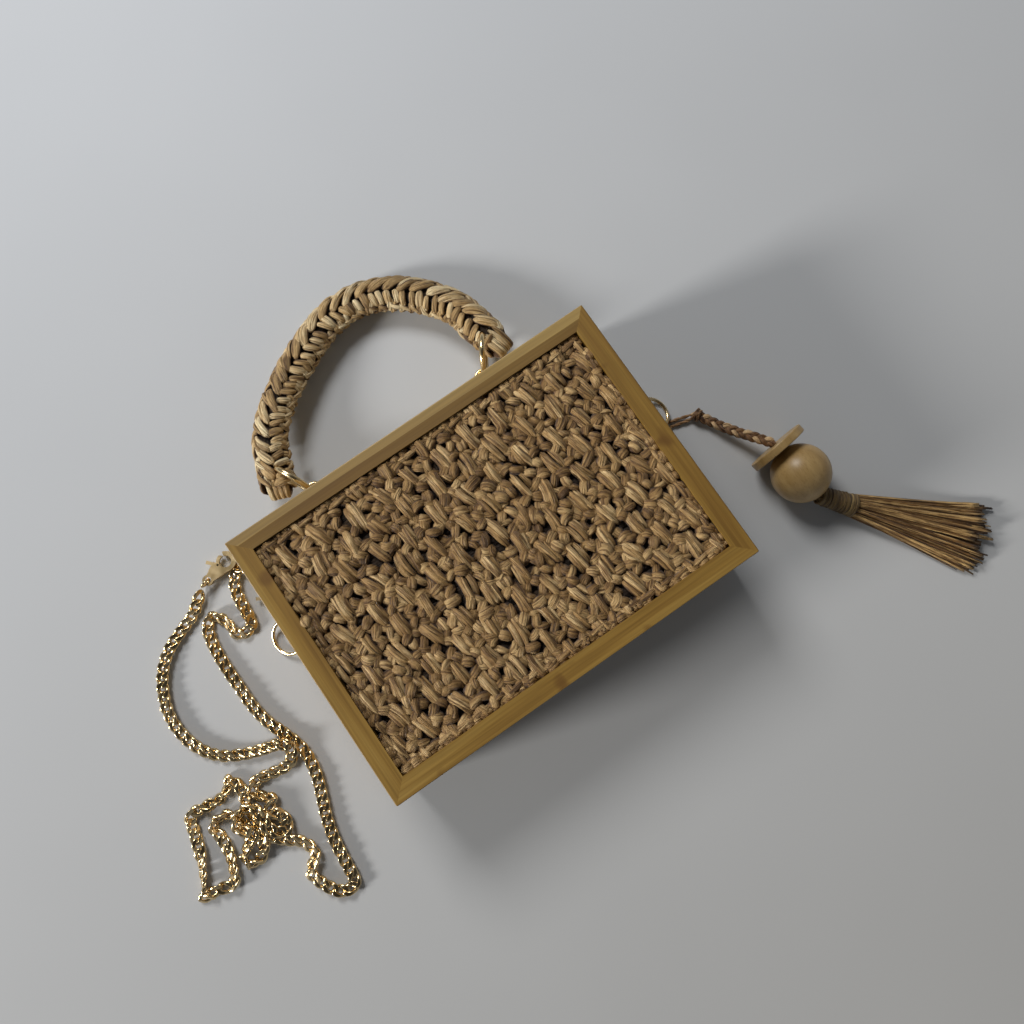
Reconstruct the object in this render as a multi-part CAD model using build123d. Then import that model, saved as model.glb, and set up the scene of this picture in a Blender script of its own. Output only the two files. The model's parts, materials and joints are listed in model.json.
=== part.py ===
"""Basket box bag: a bamboo-framed clamshell box with raffia panels, lying on its back.

Frame: +X along the top rail, +Y towards the carrying handle, +Z out of the front face.
The origin is the centre of the back face, on the surface that the bag lies on. Millimetres.
"""
from build123d import *
import math
import os

# ---- the case: two shells of mitred bamboo rails
case_width = 200.0
case_height = 142.0
shell_depth = 30.0
rail_width = 9.5
seam_gap = 0.2
corner_round = 0.8
edge_round = 0.5
mitre_overcut = 2.0

# ---- panels and the boards behind them
board_thickness = 2.0
board_groove = 3.0
board_play = 0.1
panel_inset = 0.6
panel_thickness = 7.4
panel_gap = 0.8
panel_corner_round = 2.0

# ---- hinges along the bottom rails
hinge_offset = 62.0
hinge_length = 26.0
hinge_stand = 0.6
knuckle_radius = 1.9
knuckle_count = 5
knuckle_play = 0.15
hinge_pin_radius = 0.8
pin_running_gap = 0.04
leaf_thickness = 0.8
leaf_reach = 7.6
recess_play = 0.3
screw_offset = 8.0
screw_radius = 0.8
screw_head_radius = 1.6
screw_head_depth = 0.5
screw_length = 7.0
hole_play = 0.05

# ---- closing magnets in the top rails
magnet_offset = 60.0
magnet_radius = 3.5
magnet_thickness = 2.0
magnet_inset = 0.1

# ---- screw eyes and rings of the handle
handle_eye_places = {"left": -57.0, "right": 48.0}
handle_splay = {"left": -25.0, "right": 32.0}
handle_eye_height = 15.0
handle_eye_radius = 4.6
handle_eye_wire = 1.0
handle_eye_stand = 1.5
handle_shank_length = 7.0
handle_ring_radius = 11.0
handle_ring_wire = 1.5
link_gap = 0.35
handle_droop = 6.7
handle_mean_splay = 28.0

# ---- screw eyes and rings of the strap, one on each side wall
side_eye_place = 19.5
side_eye_height = 8.0
side_eye_radius = 3.2
side_eye_wire = 0.8
side_eye_stand = 0.6
side_shank_length = 5.8
side_ring_radius = 8.95
side_ring_wire = 0.95
side_link_gap = 0.3
side_ring_swing = {"left": 60.0, "right": 52.0}
side_ring_floor_gap = {"left": 0.05, "right": 0.6}

# ---- the crocheted handle, its arch measured from the top wall
handle_half_width = 8.6
handle_half_thickness = 6.2
ring_slot_play = 0.3
handle_arch = [
    (-71.5, 18.0), (-67.0, 29.5), (-63.5, 41.5), (-54.0, 53.5), (-41.0, 63.5),
    (-26.0, 72.5), (-9.0, 80.5), (9.0, 84.5), (26.0, 80.5), (41.0, 70.5),
    (53.0, 56.5), (59.5, 42.0), (61.0, 28.5), (65.0, 16.5),
]

# ---- the chain strap, laid unclipped beside the left wall; x is measured from that wall
chain_diameter = 4.4
heap_height = 9.0
heap_round = 2.0
near_run = [
    (-7.5, 64.0, 3.0), (-10.0, 70.0, 2.3), (-16.5, 69.0, 2.2), (-20.5, 61.5, 2.2),
    (-21.6, 51.0, 2.2), (-22.2, 40.5, 2.2), (-32.0, 40.0, 2.2), (-32.4, 50.0, 2.2),
    (-36.5, 57.5, 2.2), (-43.0, 54.0, 2.2), (-45.2, 42.5, 2.2), (-45.6, 30.0, 2.2),
    (-45.2, 17.5, 2.2), (-45.0, 6.0, 2.2), (-42.6, -5.5, 2.2), (-37.8, -16.0, 2.2),
    (-34.8, -27.5, 2.2), (-36.2, -39.5, 2.2), (-40.4, -51.0, 2.2), (-44.6, -62.0, 2.2),
    (-47.0, -73.5, 2.2), (-48.0, -85.0, 2.2), (-48.8, -97.0, 2.2), (-58.0, -95.5, 2.2),
    (-63.0, -87.0, 2.2), (-66.0, -78.0, 2.2), (-57.5, -73.5, 2.2), (-59.0, -64.5, 2.2),
    (-66.0, -58.5, 3.2), (-72.0, -52.0, 4.5),
]
far_run = [
    (-74.0, -36.0, 4.5), (-68.5, -29.5, 3.2), (-63.5, -24.5, 2.2), (-54.5, -27.6, 2.2),
    (-44.5, -28.6, 2.2), (-41.5, -19.0, 2.2), (-52.0, -14.6, 2.2), (-63.0, -10.4, 2.2),
    (-72.5, -4.6, 2.2), (-79.0, 4.4, 2.2), (-82.4, 15.5, 2.2), (-82.6, 27.5, 2.2),
    (-79.0, 38.5, 2.2), (-73.0, 48.5, 2.2), (-64.0, 56.0, 2.2), (-53.0, 60.2, 2.2),
    (-43.0, 64.0, 2.4), (-36.0, 70.5, 3.0),
]
heap_outline = [
    (-67.0, -24.0), (-72.0, -13.0), (-78.5, -13.5), (-82.5, -19.5), (-96.0, -17.5),
    (-103.0, -20.0), (-104.5, -33.0), (-111.0, -52.0), (-119.5, -57.0), (-117.5, -64.5),
    (-107.0, -60.5), (-99.5, -66.0), (-92.0, -60.5), (-76.0, -60.5), (-65.0, -66.5),
    (-60.5, -55.0), (-66.0, -47.0), (-58.5, -42.0), (-63.5, -34.0),
]

# ---- lobster clasps at the strap's two ends; x is measured from the left wall
clasp_thickness = 3.4
claw_place = 13.0
claw_radius = 5.4
claw_hole_radius = 3.1
tail_eye_radius = 2.8
tail_hole_radius = 1.8
tail_thickness = 1.8
neck_root = 10.3
neck_root_half = 4.64
neck_tail_half = 1.96
shoulder_place = 3.6
shoulder_half = 3.0
gate_start = 62.0
gate_end = 158.0
gate_play = 0.35
gate_slot = 1.8
slot_width = 6.4
slot_length = 8.4
slot_shift = 2.0
mouth_end = 140.0
mouth_overcut = 0.5
gate_thickness = 1.5
gate_tab_length = 6.4
gate_tab_width = 1.8
gate_tab_heading = 118.0
gate_skin = 0.1
gate_back = 0.5
gate_boss_radius = 1.5
gate_pin_radius = 0.6
gate_pin_gap = 0.05
jump_radius = 2.6
jump_wire = 0.6
jump_play = 0.5
clasp_tilt = 3.6
clasps = {
    "near": {"place": (-6.5, 57.4, 3.3), "heading": -91.0, "roll": 180.0},
    "far": {"place": (-29.0, 73.6, 3.3), "heading": 14.0, "roll": 0.0},
}

# ---- the charm: cord, disc, ball and tassel; x is measured from the right wall
charm_cord_diameter = 5.0
charm_strand_diameter = 1.8
charm_core_diameter = 3.0
bead_bore_play = 0.2
disc_bore_play = 0.7
disc_radius = 15.75
disc_thickness = 4.2
disc_edge_round = 0.6
ball_radius = 15.3
ball_place = (53.5, -55.2)
bead_heading = -83.0
bead_gap = 0.25
knot_place = (31.0, 1.0, 3.4)
knot_radius = 3.2
charm_line = [
    (31.0, 1.0, 3.4), (35.5, -8.0, 4.4), (40.0, -16.5, 7.4), (44.8, -24.6, 11.2),
]
charm_loop = [
    (29.5, 2.2, 2.6), (22.4, 4.6, 1.2), (14.2, 6.8, 0.95), (10.6, 8.4, 6.0), (6.4, 9.2, 10.9),
    (1.7, 9.1, 11.5), (1.7, 9.1, 4.6), (7.0, 8.0, 4.2), (12.0, 4.7, 1.2), (21.2, 2.0, 0.95),
    (29.7, 0.2, 2.3),
]
cord_end_gap = 2.6
neck_radius = 5.6
neck_length = 19.0
neck_height = 11.0
neck_slope = 14.0
neck_gap = 0.6
skirt_start_half_width = 6.0
skirt_start_half_thickness = 5.6
skirt_length = 70.0
skirt_end_half_width = 19.0
skirt_end_half_thickness = 4.2
tassel_heading = -49.0

floor_gap = 0.05
nodes = {}


def polar(distance, degrees):
    """The x and y of a point at a distance and a heading."""
    turn = math.radians(degrees)
    return distance * math.cos(turn), distance * math.sin(turn)


def beside(wall, points):
    """Points given from a side wall, -1 the left and 1 the right, moved to where that wall is."""
    return [(wall * case_width / 2 + x, *rest) for x, *rest in points]


# ------------------------------------------------------------------ case
inner_width = case_width - 2 * rail_width
inner_height = case_height - 2 * rail_width
seam = {"back": shell_depth - seam_gap / 2, "front": shell_depth + seam_gap / 2}
face = {"back": 0.0, "front": 2 * shell_depth}
inward = {"back": 1.0, "front": -1.0}
hinge_axis_y = -case_height / 2 - hinge_stand
hinge_axis_z = shell_depth


def slab(width, height, z_one, z_two):
    """A plain plate centred on the origin in x and y, between two heights."""
    middle = (z_one + z_two) / 2
    return Pos(0, 0, middle) * Box(width, height, abs(z_two - z_one))


def shell_frame(side):
    """All four rails of one shell in one piece: a picture frame with its outside rounded."""
    frame = slab(case_width, case_height, face[side], seam[side])
    frame -= slab(inner_width, inner_height, face[side] - inward[side], seam[side] + inward[side])
    posts = frame.edges().filter_by(Axis.Z).sort_by(lambda edge: edge.center().Y**2 + edge.center().X**2)
    frame = fillet(posts[-4:], corner_round)
    outside = frame.faces().sort_by(Axis.Z)[-1 if side == "front" else 0]
    return fillet(outside.outer_wire().edges(), edge_round)


def panel_levels(side):
    """Heights of the panel's outer face, the board's outer face and the board's inner face."""
    outer = face[side] + inward[side] * panel_inset
    board = outer + inward[side] * panel_thickness
    return outer, board, board + inward[side] * board_thickness


def lining_board(side, play=0.0):
    """The stiff board that sits in the rails' groove and carries the lining."""
    _, outer, inner = panel_levels(side)
    reach = 2 * (board_groove - board_play + play)
    outer -= inward[side] * play
    inner += inward[side] * play
    return slab(inner_width + reach, inner_height + reach, outer, inner)


def raffia_panel(side):
    """The crocheted panel as a plain slab, a little smaller than the opening."""
    outer, board, _ = panel_levels(side)
    panel = slab(inner_width - 2 * panel_gap, inner_height - 2 * panel_gap, outer, board)
    return fillet(panel.edges().filter_by(Axis.Z), panel_corner_round)


def mitre_wedge(rail):
    """The block whose sloping ends cut one rail out of the frame at 45 degrees."""
    along, across = (case_width, case_height) if rail in ("top", "bottom") else (case_height, case_width)
    outside = mitre_overcut
    inside = rail_width + mitre_overcut
    outline = Polyline(
        (-along / 2 - outside, across / 2 + outside),
        (along / 2 + outside, across / 2 + outside),
        (along / 2 - inside, across / 2 - inside),
        (-along / 2 + inside, across / 2 - inside),
        close=True,
    )
    wedge = Pos(0, 0, -mitre_overcut) * extrude(make_face(outline), 2 * (shell_depth + mitre_overcut))
    turn = {"top": 0, "left": 90, "bottom": 180, "right": 270}[rail]
    return Rot(0, 0, turn) * wedge


# ------------------------------------------------------------------ hinges
knuckle_length = hinge_length / knuckle_count


def knuckle_stations(side):
    """Start and end of each knuckle of one leaf, measured from the hinge's left end."""
    first = 0 if side == "back" else 1
    for number in range(first, knuckle_count, 2):
        start = number * knuckle_length + (knuckle_play / 2 if number else 0)
        end = (number + 1) * knuckle_length - (knuckle_play / 2 if number < knuckle_count - 1 else 0)
        yield start - hinge_length / 2, end - hinge_length / 2


def rod_x(x_one, x_two, y, z, radius):
    """A round bar lying along X."""
    return Pos((x_one + x_two) / 2, y, z) * Rot(0, 90, 0) * Cylinder(radius, x_two - x_one)


def leaf_block(side, x_one, x_two, y_one, y_two, play=0.0):
    """A block as thick as a leaf, sunk into the rail from the seam."""
    z_one = seam[side]
    z_two = seam[side] - inward[side] * (leaf_thickness + play)
    centre = Pos((x_one + x_two) / 2, (y_one + y_two) / 2, (z_one + z_two) / 2)
    return centre * Box(x_two - x_one, y_two - y_one, abs(z_two - z_one))


def hinge_leaf(side, x):
    """One leaf: a plate in the rail's mortise and the knuckles that it rolls into."""
    half = hinge_length / 2
    plate_start = hinge_axis_y + knuckle_radius + knuckle_play
    leaf = leaf_block(side, x - half, x + half, plate_start, -case_height / 2 + leaf_reach)
    for start, end in knuckle_stations(side):
        leaf += leaf_block(side, x + start, x + end, hinge_axis_y, plate_start)
        leaf += rod_x(x + start, x + end, hinge_axis_y, hinge_axis_z, knuckle_radius)
    bore = hinge_pin_radius if side == "back" else hinge_pin_radius + pin_running_gap
    return leaf - rod_x(x - half - 1, x + half + 1, hinge_axis_y, hinge_axis_z, bore)


def hinge_screw(side, x, play=0.0):
    """A countersunk wood screw, its head flush with the leaf, its shank in the rail."""
    y = -case_height / 2 + rail_width / 2
    head_top = seam[side]
    head_end = head_top - inward[side] * screw_head_depth
    tip = head_top - inward[side] * screw_length
    head = Pos(x, y, (head_top + head_end) / 2) * Cylinder(screw_head_radius + play, screw_head_depth)
    shank = Pos(x, y, (head_top + tip) / 2) * Cylinder(screw_radius + play, screw_length)
    return head + shank


def knuckle_recess(x):
    """The groove along the rails' outer edge that lets the knuckles turn."""
    half = hinge_length / 2 + recess_play
    return rod_x(x - half, x + half, hinge_axis_y, hinge_axis_z, knuckle_radius + recess_play)


# ------------------------------------------------------------------ magnets
def magnet(side, x, play=0.0):
    """A disc magnet let into the top rail's seam face, a hair below the wood."""
    z_one = seam[side] - inward[side] * (magnet_inset if play == 0 else 0)
    z_two = seam[side] - inward[side] * (magnet_inset + magnet_thickness)
    y = case_height / 2 - rail_width / 2
    return Pos(x, y, (z_one + z_two) / 2) * Cylinder(magnet_radius + play, abs(z_two - z_one))


# ------------------------------------------------------------------ eyes and rings
def screw_eye(radius, wire, stand, shank_length, play=0.0):
    """A screw eye pointing along +X from a wall at x = 0, its ring lying in the XY plane."""
    centre = stand + radius + wire
    shank_end = centre - radius
    shank = Pos((shank_end - shank_length) / 2, 0, 0) * Rot(0, 90, 0)
    eye = shank * Cylinder(wire + play, shank_end + shank_length)
    if play:
        return eye
    return eye + Pos(centre, 0, 0) * Torus(radius, wire)


handle_eye_centre = handle_eye_stand + handle_eye_radius + handle_eye_wire
handle_link = handle_ring_radius - handle_ring_wire - handle_eye_wire - link_gap
handle_link_rise = handle_eye_radius * math.cos(math.radians(handle_mean_splay))
handle_pivot_y = case_height / 2 + handle_eye_centre + handle_link_rise


def handle_eye(name, play=0.0):
    """One eye of the handle, in the back shell's top rail, its ring lying flat."""
    wall = Pos(handle_eye_places[name], case_height / 2, handle_eye_height) * Rot(0, 0, 90)
    return wall * screw_eye(handle_eye_radius, handle_eye_wire, handle_eye_stand, handle_shank_length, play)


def droop(piece):
    """Turns a handle piece down about the line through its eyes, onto the surface below."""
    pivot = Axis((0, handle_pivot_y, handle_eye_height), (1, 0, 0))
    return piece.rotate(pivot, -handle_droop)


def handle_ring(name, wire=handle_ring_wire):
    """The upright ring that links an eye to the handle, turned outwards by its splay."""
    heading = 90.0 - handle_splay[name]
    reach_x, reach_y = polar(handle_eye_radius + handle_link, heading)
    centre = Pos(
        handle_eye_places[name] + reach_x,
        case_height / 2 + handle_eye_centre + reach_y,
        handle_eye_height,
    )
    return centre * Rot(0, 0, heading) * Rot(90, 0, 0) * Torus(handle_ring_radius, wire)


side_eye_centre = side_eye_stand + side_eye_radius + side_eye_wire
side_link = side_ring_radius - side_ring_wire - side_eye_wire - side_link_gap


def side_eye(name, play=0.0):
    """One eye of the strap: its ring stands upright, so that the strap ring lies flat."""
    eye = Rot(90, 0, 0) * screw_eye(side_eye_radius, side_eye_wire, side_eye_stand, side_shank_length, play)
    facing = 0 if name == "right" else 180
    wall = Pos((1 if name == "right" else -1) * case_width / 2, side_eye_place, side_eye_height)
    return wall * Rot(0, 0, facing) * eye


def side_ring(name):
    """A strap ring hooked through its eye, swung along the wall and drooped to the surface."""
    outward = 1 if name == "right" else -1
    swing = side_ring_swing[name] * (-1 if name == "right" else 1)
    swing_x, swing_y = polar(side_link, swing)
    reach = side_eye_radius + swing_x + side_ring_radius
    fall = side_eye_height - side_ring_wire - side_ring_floor_gap[name]
    angle = math.degrees(math.asin(fall / reach))
    ring = Pos(side_eye_radius + swing_x, 0, 0) * Torus(side_ring_radius, side_ring_wire)
    drooped = Rot(0, angle, 0) * ring
    if outward < 0:
        drooped = drooped.mirror(Plane.YZ)
    eye_x = outward * (case_width / 2 + side_eye_centre)
    return Pos(eye_x, side_eye_place + swing_y, side_eye_height) * drooped


# ------------------------------------------------------------------ tubes and the handle
def bend_radii(points, share=0.45):
    """For each corner: a share of its shorter run over the tangent of half its turn."""
    radii = []
    for before, here, after in zip(points, points[1:], points[2:]):
        run_in = Vector(*here) - Vector(*before)
        run_out = Vector(*after) - Vector(*here)
        turn = math.radians(run_in.get_angle(run_out))
        radii.append(share * min(run_in.length, run_out.length) / math.tan(turn / 2))
    return radii


def rounded_route(points):
    """Straight runs joined by tangent arcs as large as the runs allow."""
    return FilletPolyline(*points, radius=bend_radii(points))


def tube(points, diameter, label):
    """A round tube along a rounded route; its bends and volume are printed."""
    route = rounded_route(points)
    start = Plane(origin=route @ 0, z_dir=route % 0)
    body = sweep(start * Circle(diameter / 2), path=route)
    tightest = min(bend_radii(points))
    expected = math.pi * diameter**2 / 4 * route.length
    print(f"{label}: length {route.length:.1f}, tightest bend {tightest:.2f}, "
          f"volume {body.volume:.1f} of {expected:.1f}")
    print("  radii", [round(radius, 1) for radius in bend_radii(points)])
    return body


def handle_strap():
    """The handle as a plain oval bar bent to its arch, with room for each ring at its end."""
    points = [(x, case_height / 2 + y, handle_eye_height) for x, y in handle_arch]
    route = rounded_route(points)
    start = Plane(origin=route @ 0, x_dir=(0, 0, 1), z_dir=route % 0)
    bar = sweep(start * Ellipse(handle_half_thickness, handle_half_width), path=route)
    for name in handle_eye_places:
        bar -= handle_ring(name, handle_ring_wire + ring_slot_play)
    return droop(bar)


# ------------------------------------------------------------------ clasps
def clasp_frame(name):
    """Where a clasp lies: its tail eye at the place, its nose along the heading, tipped down."""
    clasp = clasps[name]
    tail = Pos(*beside(-1, [clasp["place"]])[0]) * Rot(0, 0, clasp["heading"])
    return tail * Rot(0, clasp_tilt, 0) * Rot(clasp["roll"], 0, 0)


def ring_sector(inner, outer, start, end, thickness):
    """Part of a flat ring between two headings, centred on the claw."""
    reach = outer + 3
    middle = (start + end) / 2
    corners = [(0, 0), polar(reach, start), polar(reach * 1.4, middle), polar(reach, end)]
    wedge = extrude(make_face(Polyline(*corners, close=True)), thickness, both=True)
    band = Cylinder(outer, thickness) - Cylinder(inner, thickness + 1)
    return Pos(claw_place, 0, 0) * (band & wedge)


gate_mid_radius = (claw_radius + claw_hole_radius) / 2
gate_pivot_x = claw_place + polar(gate_mid_radius, gate_end)[0]
gate_pivot_y = polar(gate_mid_radius, gate_end)[1]
nose_x, nose_y = polar(claw_hole_radius, gate_start)
gate_reach = math.hypot(claw_place + nose_x - gate_pivot_x, nose_y - gate_pivot_y) - gate_play


def clasp_body():
    """The clasp's cast body: a tail with an eye, and a claw open where the gate closes it."""
    tail = Pos(0, 0, 0) * Cylinder(tail_eye_radius, tail_thickness)
    neck = make_face(Polyline(
        (0, -neck_tail_half), (neck_root, -neck_root_half),
        (neck_root, neck_root_half), (0, neck_tail_half), close=True,
    ))
    body = tail + extrude(neck, tail_thickness / 2, both=True)
    shoulder = make_face(Polyline(
        (shoulder_place, -shoulder_half), (neck_root, -neck_root_half),
        (neck_root, neck_root_half), (shoulder_place, shoulder_half), close=True,
    ))
    body += extrude(shoulder, clasp_thickness / 2, both=True)
    body += Pos(claw_place, 0, 0) * Cylinder(claw_radius, clasp_thickness)
    body -= Pos(claw_place, 0, 0) * Cylinder(claw_hole_radius, clasp_thickness + 1)
    body -= Cylinder(tail_hole_radius, clasp_thickness + 1)
    mouth_inner = claw_hole_radius - mouth_overcut
    mouth_outer = claw_radius + mouth_overcut
    body -= ring_sector(mouth_inner, mouth_outer, gate_start, mouth_end, clasp_thickness + 1)
    body -= Pos(gate_pivot_x, gate_pivot_y + slot_shift, 0) * Box(slot_width, slot_length, gate_slot)
    return body - Pos(gate_pivot_x, gate_pivot_y, 0) * Cylinder(gate_pin_radius, clasp_thickness + 1)


def clasp_gate():
    """The sprung lever: a curved gate, a boss on the pin and a thumb tab outside."""
    inner = claw_hole_radius + gate_skin
    outer = claw_radius - gate_back
    gate = ring_sector(inner, outer, gate_start, gate_end, gate_thickness)
    pivot = Pos(gate_pivot_x, gate_pivot_y, 0)
    gate = gate & pivot * Cylinder(gate_reach, gate_thickness + 1)
    gate += pivot * Cylinder(gate_boss_radius, gate_thickness)
    tab = Pos(gate_tab_length / 2, 0, 0) * Box(gate_tab_length, gate_tab_width, gate_thickness)
    gate += pivot * Rot(0, 0, gate_tab_heading) * tab
    return gate - pivot * Cylinder(gate_pin_radius + gate_pin_gap, gate_thickness + 1)


def clasp_pin():
    """The rivet that the gate turns on."""
    return Pos(gate_pivot_x, gate_pivot_y, 0) * Cylinder(gate_pin_radius, clasp_thickness)


def jump_ring():
    """The small upright ring through the tail eye, for the strap's end link."""
    centre = tail_hole_radius - jump_wire - jump_play - jump_radius
    return Pos(centre, 0, 0) * Rot(90, 0, 0) * Torus(jump_radius, jump_wire)


# ------------------------------------------------------------------ charm
ball_x, ball_y = beside(1, [ball_place])[0]
knot = beside(1, [knot_place])[0]
ball_height = ball_radius + floor_gap
bead_shift = ball_radius + bead_gap + disc_thickness / 2
disc_middle = (
    ball_x - polar(bead_shift, bead_heading)[0],
    ball_y - polar(bead_shift, bead_heading)[1],
    disc_radius + floor_gap,
)
bead_axis = Rot(0, 0, bead_heading) * Rot(0, 90, 0)


def charm_disc():
    """A turned wooden disc standing on its edge, bored for the cord."""
    disc = Cylinder(disc_radius, disc_thickness)
    disc = fillet(disc.edges().filter_by(GeomType.CIRCLE), disc_edge_round)
    disc -= Cylinder(charm_core_diameter / 2 + disc_bore_play, disc_thickness + 1)
    return Pos(*disc_middle) * bead_axis * disc


def charm_ball():
    """A turned wooden ball, bored for the cord."""
    ball = Sphere(ball_radius) - Cylinder(charm_core_diameter / 2 + bead_bore_play, 3 * ball_radius)
    return Pos(ball_x, ball_y, ball_height) * bead_axis * ball


def neck_start():
    """Where the tassel's bound neck leaves the ball."""
    x, y = polar(ball_radius + neck_gap, bead_heading)
    return ball_x + x, ball_y + y, neck_height


def tassel_frame():
    """Stands at the neck's start and points down the tassel towards the surface."""
    return Pos(*neck_start()) * Rot(0, 0, tassel_heading) * Rot(0, neck_slope, 0)


neck_drop = neck_length * math.sin(math.radians(neck_slope))
neck_run = polar(neck_length * math.cos(math.radians(neck_slope)), tassel_heading)
skirt_start = (neck_start()[0] + neck_run[0], neck_start()[1] + neck_run[1], neck_start()[2] - neck_drop)


def tassel_neck():
    """The bound neck, a short cylinder that slopes from the ball to the skirt."""
    neck = tassel_frame() * Pos(neck_length / 2, 0, 0) * Rot(0, 90, 0) * Cylinder(neck_radius, neck_length)
    clear = ball_radius + bead_gap
    return neck - Pos(ball_x, ball_y, ball_height) * Sphere(clear)


def tassel_skirt():
    """The fan of loose raffia ends, round where it is tied and flat where it lies."""
    end_x, end_y = polar(skirt_length, tassel_heading)
    end_middle = (skirt_start[0] + end_x, skirt_start[1] + end_y, skirt_end_half_thickness + floor_gap)
    side = polar(1.0, tassel_heading + 90)
    first = Plane(origin=skirt_start, x_dir=(side[0], side[1], 0), z_dir=(*polar(1.0, tassel_heading), 0))
    last = Plane(origin=end_middle, x_dir=(side[0], side[1], 0), z_dir=(*polar(1.0, tassel_heading), 0))
    tied = first * Ellipse(skirt_start_half_width, skirt_start_half_thickness)
    open_end = last * Ellipse(skirt_end_half_width, skirt_end_half_thickness)
    skirt = loft([tied, open_end])
    return skirt - tassel_neck()


def charm_cord():
    """The twisted stretch from its knot to the disc, and the core that threads the beads."""
    ahead_x, ahead_y = polar(bead_shift + disc_thickness / 2 + cord_end_gap, bead_heading)
    entry = (ball_x - ahead_x, ball_y - ahead_y, ball_height)
    cord = tube(beside(1, charm_line) + [entry], charm_cord_diameter, "charm cord")
    core_length = bead_shift + disc_thickness / 2 + cord_end_gap + ball_radius
    core_x, core_y = polar(core_length / 2, bead_heading)
    core = Pos(entry[0] + core_x, entry[1] + core_y, entry[2]) * bead_axis
    cord += core * Cylinder(charm_core_diameter / 2, core_length)
    return cord + Pos(*knot) * Sphere(knot_radius)


def charm_eye_loop():
    """The cord's loop around the strap ring, its two ends tied into the knot."""
    loop = tube(beside(1, charm_loop), charm_strand_diameter, "charm loop")
    return loop - Pos(*knot) * Sphere(knot_radius)


# ------------------------------------------------------------------ assembly
def build_shell(side):
    """One shell: rails cut from the frame, then the groove, mortises and holes."""
    frame = shell_frame(side) - lining_board(side, play=board_play)
    for x in (-hinge_offset, hinge_offset):
        frame -= knuckle_recess(x)
        half = hinge_length / 2
        mortise_start = hinge_axis_y
        frame -= leaf_block(side, x - half, x + half, mortise_start, -case_height / 2 + leaf_reach)
        for shift in (-screw_offset, screw_offset):
            frame -= hinge_screw(side, x + shift, hole_play)
    for x in (-magnet_offset, magnet_offset):
        frame -= magnet(side, x, hole_play)
    if side == "back":
        for name in ("left", "right"):
            frame -= handle_eye(name, hole_play)
            frame -= side_eye(name, hole_play)
    for rail in ("top", "bottom", "left", "right"):
        nodes[f"{side}_{rail}_rail"] = frame & mitre_wedge(rail)
    nodes[f"{side}_lining_board"] = lining_board(side)
    nodes[f"{side}_raffia_panel"] = raffia_panel(side)


def build_hardware():
    """Hinges, screws, magnets, eyes and rings."""
    for name, x in (("left", -hinge_offset), ("right", hinge_offset)):
        for side in ("front", "back"):
            leaf = hinge_leaf(side, x)
            for shift in (-screw_offset, screw_offset):
                leaf -= hinge_screw(side, x + shift, hole_play)
            nodes[f"{name}_hinge_{side}_leaf"] = leaf
        half = hinge_length / 2
        nodes[f"{name}_hinge_pin"] = rod_x(x - half, x + half, hinge_axis_y, hinge_axis_z, hinge_pin_radius)
    for side in ("front", "back"):
        places = [x + shift for x in (-hinge_offset, hinge_offset) for shift in (-screw_offset, screw_offset)]
        nodes[f"{side}_hinge_screws"] = Compound([hinge_screw(side, x).solid() for x in places])
        for name, x in (("left", -magnet_offset), ("right", magnet_offset)):
            nodes[f"{side}_{name}_magnet"] = magnet(side, x)
    for name in ("left", "right"):
        nodes[f"handle_eye_{name}"] = handle_eye(name)
        nodes[f"handle_ring_{name}"] = droop(handle_ring(name))
        nodes[f"strap_eye_{name}"] = side_eye(name)
        nodes[f"strap_ring_{name}"] = side_ring(name)


def build_strap():
    """The chain's two loose runs, the heap between them and a clasp at each end."""
    outline = Polyline(*beside(-1, heap_outline), close=True)
    heap = extrude(make_face(outline), heap_height - floor_gap)
    heap = Pos(0, 0, floor_gap) * heap
    rim = heap.faces().sort_by(Axis.Z)[-1].outer_wire().edges()
    heap = fillet(rim, heap_round)
    nodes["chain_heap"] = heap
    nodes["chain_near_run"] = tube(beside(-1, near_run), chain_diameter, "chain near run") - heap
    nodes["chain_far_run"] = tube(beside(-1, far_run), chain_diameter, "chain far run") - heap
    for name in clasps:
        frame = clasp_frame(name)
        nodes[f"{name}_clasp_body"] = frame * clasp_body()
        nodes[f"{name}_clasp_gate"] = frame * clasp_gate()
        nodes[f"{name}_clasp_pin"] = frame * clasp_pin()
        nodes[f"{name}_clasp_jump_ring"] = frame * jump_ring()


def build_charm():
    """The charm on the right-hand strap ring."""
    nodes["charm_cord"] = charm_cord()
    nodes["charm_loop"] = charm_eye_loop()
    nodes["charm_disc"] = charm_disc()
    nodes["charm_ball"] = charm_ball()
    nodes["tassel_neck"] = tassel_neck() - nodes["charm_cord"]
    nodes["tassel_skirt"] = tassel_skirt()


build_shell("back")
build_shell("front")
build_hardware()
nodes["carrying_handle"] = handle_strap()
build_strap()
build_charm()

os.makedirs("parts", exist_ok=True)
for node, shape in nodes.items():
    export_step(shape, f"parts/{node}.step")
print(len(nodes), "nodes")
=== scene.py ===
"""Looks of the basket box bag: bamboo rails, crocheted raffia, gold chain and a beaded charm.

Sizes in the functions are millimetres; MM turns them into the scene's metres.
"""

import json
import math

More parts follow.
